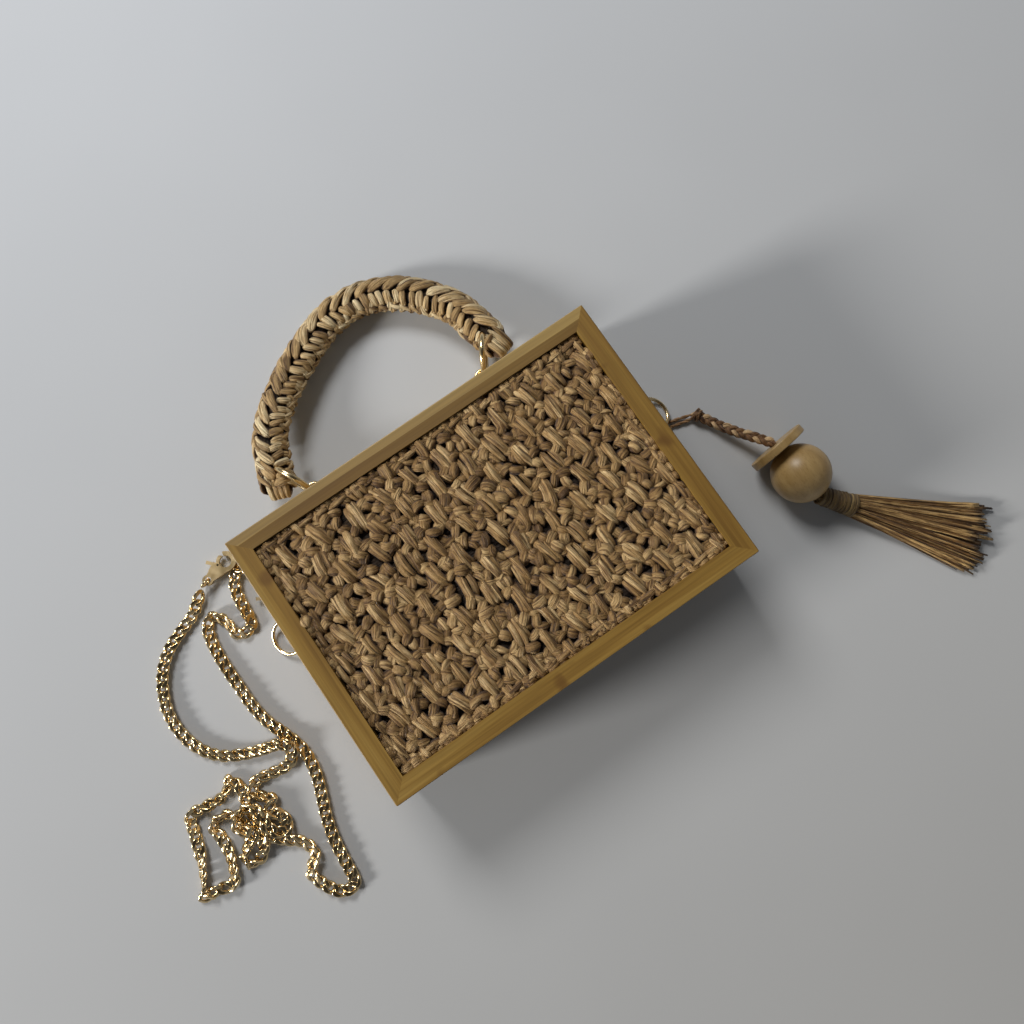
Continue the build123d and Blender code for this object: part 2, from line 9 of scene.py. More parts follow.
import bpy
import numpy as np
from mathutils import Euler, Matrix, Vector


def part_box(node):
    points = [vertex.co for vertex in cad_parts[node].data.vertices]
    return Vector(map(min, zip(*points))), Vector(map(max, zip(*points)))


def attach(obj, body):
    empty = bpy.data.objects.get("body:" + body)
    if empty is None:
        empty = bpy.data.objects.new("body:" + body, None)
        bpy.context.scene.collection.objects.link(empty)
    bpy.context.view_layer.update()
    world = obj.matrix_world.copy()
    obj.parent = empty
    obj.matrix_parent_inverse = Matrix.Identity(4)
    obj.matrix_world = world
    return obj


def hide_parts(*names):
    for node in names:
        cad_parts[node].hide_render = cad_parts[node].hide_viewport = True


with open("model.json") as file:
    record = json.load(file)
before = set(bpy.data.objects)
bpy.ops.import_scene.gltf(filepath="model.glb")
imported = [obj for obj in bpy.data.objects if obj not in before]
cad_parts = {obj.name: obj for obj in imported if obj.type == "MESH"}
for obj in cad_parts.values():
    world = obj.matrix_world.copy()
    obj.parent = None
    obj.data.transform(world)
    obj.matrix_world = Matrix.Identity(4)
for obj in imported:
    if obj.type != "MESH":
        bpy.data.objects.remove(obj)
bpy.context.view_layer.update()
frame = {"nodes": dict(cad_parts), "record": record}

MM = 0.001
UP = np.array([0.0, 0.0, 1.0])
FACE_Z = 60.0       # the front face, above the resting plane
WALL_Y = 71.0       # the top wall
LOW = 0.5           # soft pieces are pressed flat below this height
PANEL_HALF = np.array([89.0, 60.1])
HANDLE_DROOP = 6.7  # degrees the handle hangs below its level place
ROUTE_STEPS = 12    # points along each piece of a route

joint_places = {
    joint["name"]: np.array(joint["pos_m"]) / MM for joint in frame["record"]["behaviour"]["joints"]
}


def middle_of(node):
    """The centre of a frame node's box at rest, in millimetres."""
    low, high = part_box(node)
    return (np.array(low) + np.array(high)) / 2 / MM


def unit(vectors):
    """The vectors scaled to length one."""
    return vectors / np.maximum(np.linalg.norm(vectors, axis=-1, keepdims=True), 1e-9)


def cross_ways(ahead):
    """Two ways square to a direction: the level one, and the one over it."""
    level = unit(np.cross(UP, ahead))
    return level, np.cross(ahead, level)


def turned_way(side, over, angle):
    """One way times the angle's cosine plus the other times its sine."""
    return side * np.cos(angle)[..., None] + over * np.sin(angle)[..., None]


# ------------------------------------------------------------------ materials
def new_material(name):
    """A node material with its node tree and its shader."""
    material = bpy.data.materials.new(name)
    material.use_nodes = True
    return material, material.node_tree, material.node_tree.nodes["Principled BSDF"]


def object_place(tree):
    """The coordinate that rides with each piece."""
    return tree.nodes.new("ShaderNodeTexCoord").outputs["Object"]


def axis_of(tree, source, axis):
    """One axis of a vector socket."""
    parts = tree.nodes.new("ShaderNodeSeparateXYZ")
    tree.links.new(source, parts.inputs["Vector"])
    return parts.outputs[axis]


def scaled_noise(tree, source, scale, detail=3.0, rough=0.55, turn=(0, 0, 0)):
    """Noise on a coordinate stretched by scale, one number per axis."""
    mapping = tree.nodes.new("ShaderNodeMapping")
    mapping.inputs["Scale"].default_value = scale
    mapping.inputs["Rotation"].default_value = turn
    tree.links.new(source, mapping.inputs["Vector"])
    noise = tree.nodes.new("ShaderNodeTexNoise")
    noise.inputs["Scale"].default_value = 1.0
    noise.inputs["Detail"].default_value = detail
    noise.inputs["Roughness"].default_value = rough
    tree.links.new(mapping.outputs["Vector"], noise.inputs["Vector"])
    return noise.outputs["Fac"]


def ramp(tree, source, stops):
    """A colour ramp: stops are (place, (r, g, b)) in linear colour."""
    node = tree.nodes.new("ShaderNodeValToRGB")
    elements = node.color_ramp.elements
    while len(elements) < len(stops):
        elements.new(0.5)
    for element, (place, colour) in zip(elements, stops):
        element.position = place
        element.color = (*colour, 1.0)
    tree.links.new(source, node.inputs["Fac"])
    return node.outputs["Color"]


def blend_colours(tree, share, first, second, mode="MIX"):
    """Mixes two colours; share is a socket or a number."""
    node = tree.nodes.new("ShaderNodeMix")
    node.data_type = "RGBA"
    node.blend_type = mode
    if isinstance(share, float):
        node.inputs["Factor"].default_value = share
    else:
        tree.links.new(share, node.inputs["Factor"])
    for colour, socket in ((first, node.inputs["A"]), (second, node.inputs["B"])):
        if isinstance(colour, tuple):
            socket.default_value = (*colour, 1.0)
        else:
            tree.links.new(colour, socket)
    return node.outputs["Result"]


def calc(tree, operation, *values):
    """A math node on sockets or numbers."""
    node = tree.nodes.new("ShaderNodeMath")
    node.operation = operation
    for socket, value in zip(node.inputs, values):
        if isinstance(value, (int, float)):
            socket.default_value = value
        else:
            tree.links.new(value, socket)
    return node.outputs["Value"]


def add_bump(tree, shader, height, distance, strength=1.0):
    """A bump of that depth in metres on the shader's normal."""
    node = tree.nodes.new("ShaderNodeBump")
    node.inputs["Distance"].default_value = distance
    node.inputs["Strength"].default_value = strength
    tree.links.new(height, node.inputs["Height"])
    tree.links.new(node.outputs["Normal"], shader.inputs["Normal"])


def bamboo(name, along, two_tone=False):
    """Lacquered bamboo: fibre streaks along one axis, pale and brown strips, small stains."""
    material, tree, shader = new_material(name)
    place = object_place(tree)
    fine = (18, 900, 900) if along == "X" else (900, 18, 900)
    broad = (7, 190, 190) if along == "X" else (190, 7, 190)
    streaks = scaled_noise(tree, place, fine, 4.0, 0.6)
    strips = scaled_noise(tree, place, broad, 2.0)
    stains = scaled_noise(tree, place, (60, 60, 60), 2.0)
    colour = ramp(tree, strips, [
        (0.30, (0.200, 0.108, 0.022)),
        (0.50, (0.285, 0.168, 0.036)),
        (0.70, (0.370, 0.238, 0.062)),
    ])
    streak_tint = ramp(tree, streaks, [(0.30, (0.60, 0.56, 0.48)), (0.62, (1.08, 1.06, 1.0))])
    colour = blend_colours(tree, 0.75, colour, streak_tint, "MULTIPLY")
    stain_share = ramp(tree, stains, [(0.66, (0, 0, 0)), (0.78, (0.75, 0.75, 0.75))])
    colour = blend_colours(tree, stain_share, colour, (0.135, 0.062, 0.014))
    if two_tone:
        glue_line = 0.0676
        waver = calc(tree, "MULTIPLY", strips, 0.0022)
        across = calc(tree, "ADD", axis_of(tree, place, "Y"), waver)
        inner_strip = ("LESS_THAN", 0.5, (0.115, 0.062, 0.018))
        outer_strip = ("GREATER_THAN", 0.35, (0.46, 0.345, 0.155))
        for side, share, tone in (inner_strip, outer_strip):
            mask = calc(tree, side, across, glue_line)
            mask = calc(tree, "MULTIPLY", mask, share)
            colour = blend_colours(tree, mask, colour, tone)
    tree.links.new(colour, shader.inputs["Base Color"])
    shader.inputs["Roughness"].default_value = 0.42
    shader.inputs["Coat Weight"].default_value = 0.18
    shader.inputs["Coat Roughness"].default_value = 0.28
    add_bump(tree, shader, streaks, 0.00008, 0.6)
    return material


def raffia(name, dark, middle, pale, tone_share=0.55, edge=0.0):
    """Raffia ribbon: fibres run along each strand, every strand has its own tone.

    With an edge, in millimetres, a strand is darkened towards its sides and underside over that
    height: painted shade between the strands, with the tops left bright.
    """
    material, tree, shader = new_material(name)
    lay = tree.nodes.new("ShaderNodeAttribute")
    lay.attribute_name = "lay"
    tone = tree.nodes.new("ShaderNodeAttribute")
    tone.attribute_name = "tone"
    fibres = scaled_noise(tree, lay.outputs["Vector"], (0.10, 2.4, 2.4), 4.0, 0.62)
    folds = scaled_noise(tree, lay.outputs["Vector"], (0.055, 0.95, 0.95), 2.0, 0.5)
    patches = scaled_noise(tree, lay.outputs["Vector"], (0.20, 0.25, 0.25), 2.0)
    base = calc(tree, "MULTIPLY", tone.outputs["Fac"], tone_share)
    for pattern, share in ((fibres, 0.70), (patches, 0.50)):
        base = calc(tree, "ADD", base, calc(tree, "MULTIPLY", pattern, share))
    base = calc(tree, "SUBTRACT", base, 0.105 + 0.5 * tone_share)
    colour = ramp(tree, base, [(0.10, dark), (0.46, middle), (0.84, pale)])
    # painted shade: the creases, where the fold bump is low, are darkened in colour
    painted_crease_shade = ramp(tree, folds, [(0.40, (0.32, 0.25, 0.18)), (0.475, (1.0, 1.0, 1.0))])
    colour = blend_colours(tree, 0.85, colour, painted_crease_shade, "MULTIPLY")
    # painted shade: the colour darkens from each strand's top down to its sides and underside
    if edge:
        rise = axis_of(tree, lay.outputs["Vector"], "Z")
        painted_side_shade = ramp(tree, calc(tree, "DIVIDE", rise, edge), [
            (0.04, (0.16, 0.10, 0.06)),
            (0.45, (0.62, 0.56, 0.50)),
            (0.95, (1.0, 1.0, 1.0)),
        ])
        colour = blend_colours(tree, 1.0, colour, painted_side_shade, "MULTIPLY")
    tree.links.new(colour, shader.inputs["Base Color"])
    shader.inputs["Roughness"].default_value = 0.55
    shader.inputs["Specular IOR Level"].default_value = 0.42
    shader.inputs["Sheen Weight"].default_value = 0.10
    height = calc(tree, "ADD", fibres, calc(tree, "MULTIPLY", folds, 1.6))
    add_bump(tree, shader, height, 0.0009, 1.0)
    return material


def gold(name, rough=0.2):
    """Polished pale gold plating, a little uneven in colour and gloss."""
    material, tree, shader = new_material(name)
    place = object_place(tree)
    wear = scaled_noise(tree, place, (120, 120, 120), 2.0)
    colour = ramp(tree, wear, [(0.3, (0.70, 0.52, 0.26)), (0.7, (0.88, 0.70, 0.42))])
    tree.links.new(colour, shader.inputs["Base Color"])
    gloss = ramp(tree, wear, [(0.3, (rough * 0.8,) * 3), (0.75, (rough * 1.3,) * 3)])
    tree.links.new(gloss, shader.inputs["Roughness"])
    shader.inputs["Metallic"].default_value = 1.0
    return material


def nickel():
    """Plain brushed nickel for screws and magnets."""
    material, tree, shader = new_material("brushed_nickel")
    place = object_place(tree)
    marks = scaled_noise(tree, place, (300, 3000, 300), 3.0)
    colour = ramp(tree, marks, [(0.3, (0.42, 0.41, 0.39)), (0.7, (0.66, 0.65, 0.62))])
    tree.links.new(colour, shader.inputs["Base Color"])
    shader.inputs["Metallic"].default_value = 1.0
    shader.inputs["Roughness"].default_value = 0.34
    add_bump(tree, shader, marks, 0.00003, 0.5)
    return material


def lining_cloth():
    """Dark maroon plain-weave lining: two crossing sets of threads."""
    material, tree, shader = new_material("maroon_lining")
    place = object_place(tree)
    threads = 2 * math.pi / 0.0006
    warp, weft = (
        calc(tree, "SINE", calc(tree, "MULTIPLY", axis_of(tree, place, axis), threads))
        for axis in ("X", "Y")
    )
    crossing = calc(tree, "MULTIPLY", warp, weft)
    weave = calc(tree, "MULTIPLY_ADD", crossing, 0.5, 0.5)
    fade = scaled_noise(tree, place, (40, 40, 40), 3.0)
    colour = ramp(tree, weave, [(0.0, (0.020, 0.004, 0.006)), (1.0, (0.058, 0.012, 0.014))])
    tint = ramp(tree, fade, [(0.3, (0.75, 0.75, 0.75)), (0.7, (1.2, 1.2, 1.2))])
    colour = blend_colours(tree, 1.0, colour, tint, "MULTIPLY")
    tree.links.new(colour, shader.inputs["Base Color"])
    shader.inputs["Roughness"].default_value = 0.85
    shader.inputs["Sheen Weight"].default_value = 0.25
    add_bump(tree, shader, weave, 0.0001, 0.7)
    return material


def turned_wood(name, axis_scale):
    """Semi-matte pale turned wood: soft rings along the grain and short fine pores."""
    material, tree, shader = new_material(name)
    place = object_place(tree)
    lean = (0.0, 0.0, 0.12)
    pore_scale = tuple(9 * s for s in axis_scale)
    rings = scaled_noise(tree, place, axis_scale, 2.0, 0.5, lean)
    pores = scaled_noise(tree, place, pore_scale, 3.0, 0.6, lean)
    colour = ramp(tree, rings, [
        (0.30, (0.390, 0.245, 0.088)),
        (0.52, (0.465, 0.305, 0.120)),
        (0.72, (0.540, 0.370, 0.160)),
    ])
    fleck = ramp(tree, pores, [(0.34, (0.80, 0.76, 0.70)), (0.50, (1.0, 1.0, 1.0))])
    colour = blend_colours(tree, 0.8, colour, fleck, "MULTIPLY")
    tree.links.new(colour, shader.inputs["Base Color"])
    shader.inputs["Roughness"].default_value = 0.40
    shader.inputs["Coat Weight"].default_value = 0.12
    shader.inputs["Coat Roughness"].default_value = 0.3
    add_bump(tree, shader, pores, 0.00005, 0.5)
    return material


def floor_paint():
    """A pale sheet, brighter and cooler behind the case than in front of it: painted light that
    falls off towards the front, with a very soft mottle.
    """
    material, tree, shader = new_material("pale_floor")
    place = object_place(tree)
    # painted light: the floor's colour brightens and cools towards the back
    painted_light_falloff = calc(tree, "MULTIPLY_ADD", axis_of(tree, place, "Y"), 1.4, 0.5)
    colour = ramp(tree, painted_light_falloff, [(0.0, (0.500, 0.500, 0.490)), (1.0, (0.610, 0.640, 0.680))])
    mottle = scaled_noise(tree, place, (6, 6, 6), 2.0)
    tint = ramp(tree, mottle, [(0.3, (0.97, 0.97, 0.97)), (0.7, (1.0, 1.0, 1.0))])
    colour = blend_colours(tree, 1.0, colour, tint, "MULTIPLY")
    tree.links.new(colour, shader.inputs["Base Color"])
    shader.inputs["Roughness"].default_value = 0.6
    shader.inputs["Specular IOR Level"].default_value = 0.25
    return material


# ------------------------------------------------------------------ surfaces
def strands(centre, wide, thick, up, around, ridges, seed, taper, blunt, tip):
    """Many closed flattened tubes at once.

    A point is its line's centre, plus the side way times the half width times the cosine of the
    turn, plus the lifted way times the half thickness times its sine. Both halves are swollen by
    slow sine ridges that drift along the strand, and close towards the ends as one minus the
    distance from the middle to the power taper, to the power blunt, never under tip.
    """
    count, steps, _ = centre.shape
    rng = np.random.default_rng(seed)
    tangent = unit(np.gradient(centre, axis=1))
    up = np.broadcast_to(up, centre.shape)
    side = unit(np.cross(up, tangent))
    lift = np.cross(tangent, side)
    turn = np.linspace(0, 2 * math.pi, around, endpoint=False)
    way = np.linspace(-1, 1, steps)
    close = np.maximum((1 - np.abs(way) ** taper), 0) ** blunt
    close = np.maximum(close, tip)[None, :, None]
    phase = rng.uniform(0, 2 * math.pi, (count, 1, 1, 3))
    drift = way[None, :, None]
    swell = 1 + ridges * (
        0.5 * np.sin(3 * turn + phase[..., 0] + 1.5 * drift)
        + 0.5 * np.sin(5 * turn + phase[..., 1] - 2.0 * drift)
        + 0.3 * np.sin(2 * turn + phase[..., 2] + 4.0 * drift)
    )
    across, rise = (
        np.broadcast_to(half, (count, steps))[..., None] * wave * swell * close
        for half, wave in ((wide, np.cos(turn)), (thick, np.sin(turn)))
    )
    ring = (centre[:, :, None] + side[:, :, None] * across[..., None]
            + lift[:, :, None] * rise[..., None])
    run = np.linalg.norm(np.diff(centre, axis=1), axis=-1).cumsum(axis=1)
    run = np.concatenate([np.zeros((count, 1)), run], axis=1) + rng.uniform(0, 900, (count, 1))
    lay = np.stack([np.broadcast_to(run[..., None], across.shape), across, rise], axis=-1)
    ends = centre[:, [0, -1]]
    none = np.zeros((count, 2))
    end_lay = np.stack([run[:, [0, -1]], none, none], axis=-1)
    points = np.concatenate([ring.reshape(count, -1, 3), ends], axis=1)
    lays = np.concatenate([lay.reshape(count, -1, 3), end_lay], axis=1)
    tone = np.repeat(rng.uniform(0, 1, count), points.shape[1])
    start = np.arange(count)[:, None, None] * points.shape[1]
    row = np.arange(steps - 1)[None, :, None] * around
    here = np.arange(around)[None, None, :]
    after = (here + 1) % around
    near, far = start + row, start + row + around
    quads = np.stack([near + here, near + after, far + after, far + here], axis=-1).reshape(-1, 4)
    last = start + (steps - 1) * around
    pole = start + steps * around
    caps = np.concatenate([
        np.stack(np.broadcast_arrays(*corners), axis=-1).reshape(-1, 3)
        for corners in ((pole, start + after, start + here), (pole + 1, last + here, last + after))
    ])
    return points.reshape(-1, 3), quads, caps, lays.reshape(-1, 3), tone


def assemble(name, bundles, material, body, replaced=()):
    """Joins worked-out surfaces into one mesh object that rides on a body.

    A surface is its points, quads, triangles, places along and across the strand, and tone.
    A height under LOW becomes LOW times e to the power of (height over LOW, minus one), so that
    soft strands and links press flat on the resting plane and never go through it.
    """
    offset = 0
    quads = []
    caps = []
    for points, quad, cap, _, _ in bundles:
        quads.append(quad + offset)
        caps.append(cap + offset)
        offset += len(points)
    points, lays, tones = (np.concatenate([b[part] for b in bundles]) for part in (0, 3, 4))
    pressed = LOW * np.exp(np.minimum(points[:, 2] / LOW - 1, 0))
    points[:, 2] = np.where(points[:, 2] < LOW, pressed, points[:, 2])
    faces = np.concatenate(quads).tolist() + np.concatenate(caps).tolist()
    mesh = bpy.data.meshes.new(name)
    mesh.from_pydata((points * MM).tolist(), [], faces)
    lay = mesh.attributes.new("lay", "FLOAT_VECTOR", "POINT")
    lay.data.foreach_set("vector", lays.astype(np.float32).ravel())
    tone = mesh.attributes.new("tone", "FLOAT", "POINT")
    tone.data.foreach_set("value", tones.astype(np.float32))
    mesh.polygons.foreach_set("use_smooth", np.ones(len(mesh.polygons), dtype=bool))
    mesh.materials.append(material)
    mesh.update()
    piece = bpy.data.objects.new(name, mesh)
    bpy.context.scene.collection.objects.link(piece)
    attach(piece, body)
    if replaced:
        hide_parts(*replaced)
    return piece


def nurbs_points(points):
    """Points along the quadratic NURBS spline whose control points are given, in millimetres."""
    curve = bpy.data.curves.new("route", "CURVE")
    curve.dimensions = "3D"
    spline = curve.splines.new("NURBS")
    spline.points.add(len(points) - 1)
    for knot, place in zip(spline.points, points):
        knot.co = (*[c * MM for c in place], 1.0)
    spline.order_u = 3
    spline.use_endpoint_u = True
    spline.resolution_u = ROUTE_STEPS
    holder = bpy.data.objects.new("route", curve)
    mesh = bpy.data.meshes.new_from_object(holder)
    found = np.empty(len(mesh.vertices) * 3)
    mesh.vertices.foreach_get("co", found)
    bpy.data.objects.remove(holder)
    bpy.data.curves.remove(curve)
    bpy.data.meshes.remove(mesh)
    return found.reshape(-1, 3) / MM


def along_line(line, places):
    """Positions and directions at the given distances along a dense line of points."""
    reach = 0.4
    run = np.concatenate([[0], np.linalg.norm(np.diff(line, axis=0), axis=1).cumsum()])

    def at(distance):
        """The line's point at a distance along it."""
        return np.stack([np.interp(distance, run, line[:, k]) for k in range(3)], axis=-1)

    return at(places), unit(at(places + reach) - at(places - reach))


def line_length(line):
    """The length of a dense line of points."""
    return float(np.linalg.norm(np.diff(line, axis=0), axis=1).sum())


# ------------------------------------------------------------------ crocheted panels
def stitch_lines(place, lean, length, bow, low, arch, steps):
    """Short arched lines lying in the panel.

    A line's point is its place, plus the lean direction times the length times v, plus the sideways
    direction times bow times one minus 4 v squared; its height is low plus arch times the same.
    """
    v = np.linspace(-0.5, 0.5, steps)[None]
    hump = 1 - 4 * v**2
    ahead = np.stack([np.sin(lean), -np.cos(lean)], axis=-1)[:, None]
    aside = np.stack([np.cos(lean), np.sin(lean)], axis=-1)[:, None]
    along, across = length[:, None] * v, bow[:, None] * hump
    flat = place[:, None] + ahead * along[..., None] + aside * across[..., None]
    flat = np.clip(flat, -PANEL_HALF, PANEL_HALF)
    height = low[:, None] + arch * hump
    return np.concatenate([flat, height[..., None]], axis=-1)


def panel_bundles(seed):
    """The front panel's stitches, face up: a field of long stitches, and the knots between.

    The stitches stand on a grid. Every other row is half a pitch over, and a row wavers as the
    sine of x. A stitch is three folds side by side, and each gap is filled with six short loops.
    """
    rng = np.random.default_rng(seed)
    pitch_x, pitch_y = 16.4, 11.0
    rows = columns = 12
    fold_step = 2.15
    stitch_length, stitch_top, stitch_arch = 16.8, 57.35, 2.5
    knot_level, knot_arch = 54.3, 2.7
    row, column = np.meshgrid(np.arange(rows), np.arange(columns), indexing="ij")
    x = (column - (columns - 1) / 2) * pitch_x + (row % 2 - 0.5) * pitch_x / 2
    y = (row - (rows - 1) / 2) * pitch_y + 0.6 * np.sin(x / 17.0)
    place = np.stack([x.ravel(), y.ravel()], axis=-1)
    near = np.abs(place[:, 0]) < PANEL_HALF[0] + 1.0
    place = place[near] + rng.normal(0, 0.9, (near.sum(), 2))
    count = len(place)
    lean = np.radians(9.0 + rng.normal(0, 7.0, count))
    ahead = np.stack([np.sin(lean), -np.cos(lean)], axis=-1)
    aside = np.stack([np.cos(lean), np.sin(lean)], axis=-1)
    long_ones, knotted = [], []
    for fold in range(3):
        off = fold - 1
        slide = rng.normal(0, 0.55, (count, 1)) * ahead
        length = stitch_length + rng.normal(0, 1.3, count) - abs(off) * 1.2
        top = stitch_top - 0.55 * abs(off) + rng.normal(0, 0.22, count)
        line = stitch_lines(
            place + aside * (off * fold_step) + slide, lean + rng.normal(0, 0.05, count), length,
            rng.normal(0, 0.7, count) - 0.35 * off, top - 2.0, stitch_arch, 11,
        )
        wide = 1.8 * rng.uniform(0.8, 1.15, (count, 1))
        long_ones.append(strands(line, wide, 1.35, UP, 14, 0.26, seed + fold, 3.4, 0.5, 0.15))
    half_step = np.array([pitch_x / 2, 0.0])
    leftmost = place[:, 0] < pitch_x - PANEL_HALF[0]
    gap = np.concatenate([place + half_step, place[leftmost] - half_step])
    count = len(gap)
    # a loop's place in its gap, its lean in degrees and its length
    knots = [
        (-2.5, 3.4, -48, 8.8), (2.5, 3.0, 44, 8.4), (-2.3, -0.3, 30, 8.2),
        (2.6, -0.9, -34, 8.4), (-2.6, -4.0, -66, 8.6), (2.3, -4.6, 56, 8.4),
    ]
    for number, (dx, dy, turn, length) in enumerate(knots):
        spot = gap + np.array([dx, dy]) + rng.normal(0, 0.6, gap.shape)
        line = stitch_lines(
            spot, np.radians(turn + rng.normal(0, 16, count)),
            length + rng.normal(0, 0.9, count), rng.normal(0, 1.1, count),
            knot_level + rng.normal(0, 0.6, count), knot_arch, 7,
        )
        wide = 2.6 * rng.uniform(0.78, 1.1, (count, 1))
        knotted.append(strands(line, wide, 1.5, UP, 12, 0.26, seed + 20 + number, 2.6, 0.6, 0.12))
    knotted.append(panel_rim(rng, seed))
    return long_ones, knotted


def panel_rim(rng, seed):
    """The last crocheted round: slim stitches nose to tail along the panel's four edges."""
    stitch_step, inset, level = 9.0, 1.6, 56.2
    half_x, half_y = PANEL_HALF
    corners = [(-half_x, half_y), (half_x, half_y), (half_x, -half_y), (-half_x, -half_y)]
    lines = []
    for start, end in zip(corners, corners[1:] + corners[:1]):
        start, end = np.array(start), np.array(end)
        ahead = unit(end - start)
        inward = np.array([ahead[1], -ahead[0]])
        span = np.linalg.norm(end - start)
        amount = int(span / stitch_step)
        run = (np.arange(amount) + 0.5) * span / amount
        spots = start + ahead * run[:, None] + inward * inset
        lean = math.atan2(ahead[0], -ahead[1]) + rng.normal(0.10, 0.05, amount)
        lines.append(stitch_lines(
            spots, lean, 12.4 + rng.normal(0, 0.8, amount), rng.normal(0, 0.35, amount),
            np.full(amount, level), 1.5, 9,
        ))
    return strands(np.concatenate(lines), 1.45, 1.3, UP, 9, 0.14, seed + 40, 4.0, 0.5, 0.2)


def backing(seed):
    """A crocheted ground under the stitches: flat wide strands side by side, coloured near black as
    painted shade for the gaps between them.
    """
    rows, level = 22, 53.6
    y = np.linspace(-PANEL_HALF[1] + 2.6, PANEL_HALF[1] - 2.6, rows)
    x = np.linspace(-PANEL_HALF[0] + 0.2, PANEL_HALF[0] - 0.2, 20)
    line = np.stack(np.broadcast_arrays(x[None], y[:, None], level), axis=-1)
    return strands(line, 3.1, 1.5, UP, 8, 0.05, seed, 30.0, 0.5, 0.5)


def turn_over(bundle):
    """Half a turn about the line through the case's middle, along Y."""
    points, quads, caps, lays, tone = bundle
    return points * np.array([-1.0, 1.0, -1.0]) + UP * FACE_Z, quads, caps, lays, tone


def crocheted_panels(stitch, knot_stitch, ground):
    """The two panels and the grounds behind them."""
    for side, seed, ground_seed in (("front", 3, 71), ("back", 8, 72)):
        layers = [*panel_bundles(seed), [backing(ground_seed)]]
        if side == "back":
            layers = [[turn_over(bundle) for bundle in layer] for layer in layers]
        long_ones, knotted, plain = layers
        shell, name = f"{side}_shell", f"{side}_crochet"
        assemble(name, long_ones, stitch, shell, [f"{side}_raffia_panel"])
        assemble(f"{name}_knots", knotted, knot_stitch, shell)
        # the ground's near-black colour is painted shade in the gaps between the stitches
        assemble(f"{name}_ground", plain, ground, shell)


# ------------------------------------------------------------------ carrying handle
handle_line = [
    (-71.5, 89.0), (-67.0, 100.5), (-63.5, 112.5), (-54.0, 124.5), (-41.0, 134.5),
    (-26.0, 143.5), (-9.0, 151.5), (9.0, 155.5), (26.0, 151.5), (41.0, 141.5),
    (53.0, 127.5), (59.5, 113.0), (61.0, 99.5), (65.0, 87.5),
]
HANDLE_WIDE = 7.3
HANDLE_THICK = 5.0


def droop(points):
    """Turns points down about the line through the handle's eyes."""
    _, pivot_y, pivot_z = joint_places["handle_swing"]
    turn = math.radians(-HANDLE_DROOP)
    y, z = points[..., 1] - pivot_y, points[..., 2] - pivot_z
    return np.stack([
        points[..., 0],
        pivot_y + y * math.cos(turn) - z * math.sin(turn),
        pivot_z + y * math.sin(turn) + z * math.cos(turn),
    ], axis=-1)


def on_handle(line, run, angle, lift=0.0):
    """Points and outward ways on the handle's oval skin.

    At a distance along the arch, the point is the arch's point plus the outer way times the half
    width times the cosine of the angle, plus up times the half thickness times its sine.
    """
    centre, ahead = along_line(line, run)
    outer = unit(np.stack([-ahead[..., 1], ahead[..., 0], np.zeros_like(run)], axis=-1))
    cosine, sine = np.cos(angle)[..., None], np.sin(angle)[..., None]
    skin = centre + outer * cosine * (HANDLE_WIDE + lift) + UP * sine * (HANDLE_THICK + lift)
    normal = unit(outer * cosine / HANDLE_WIDE + UP * sine / HANDLE_THICK)
    return skin, normal


def handle_row(line, start, stop, pitch, span, angles, wide, thick, seed, jitter, lift):
    """One row of equal stitches on the handle's skin.

    A stitch runs its span along the arch while its angle goes from the first to the second, and it
    stands off the skin as the sine of a half turn.
    """
    rng = np.random.default_rng(seed)
    heads = np.arange(start, stop, pitch)
    heads = heads + rng.normal(0, jitter * 0.5, len(heads))
    v = np.linspace(0, 1, 9)[None]
    first, final = (np.radians(angle + rng.normal(0, 7, len(heads)))[:, None] for angle in angles)
    run = heads[:, None] + (span + rng.normal(0, jitter, len(heads)))[:, None] * v
    bulge = lift + 0.9 * np.sin(math.pi * v)
    skin, normal = on_handle(line, run, first + (final - first) * v, bulge[..., None])
    broad = wide * rng.uniform(0.8, 1.15, (len(heads), 1))
    return strands(droop(skin), broad, thick, normal, 12, 0.22, seed, 4.0, 0.5, 0.25)


def handle_end(line, at_start, seed):
    """Long stitches that go round an end of the strap from its top to its underside.

    Along the arch they run as the start less the swing times the sine of a half turn, in height
    as its cosine, and they draw together a little as they go round.
    """
    start, swing, half_height = 9.0, 12.6, 4.9
    place = 0.6 if at_start else line_length(line) - 0.6
    aside = np.array([-4.6, -1.6, 1.6, 4.6])[:, None]
    turn = np.linspace(0, 1, 15)[None] * math.pi
    sine, cosine = np.sin(turn)[..., None], np.cos(turn)[..., None]
    anchor, ahead = along_line(line, np.array([place]))
    outward = -ahead[0] if at_start else ahead[0]
    outer = unit(np.array([-ahead[0][1], ahead[0][0], 0.0]))
    pinch = 1 - 0.22 * np.sin(turn)
    points = (anchor[0] - outward * (start - swing * sine) + outer * (aside * pinch)[..., None]
              + UP * (half_height * cosine))
    up = unit(outward * sine + UP * cosine)
    return strands(droop(points), 1.9, 1.6, up, 10, 0.14, seed, 5.0, 0.5, 0.3)


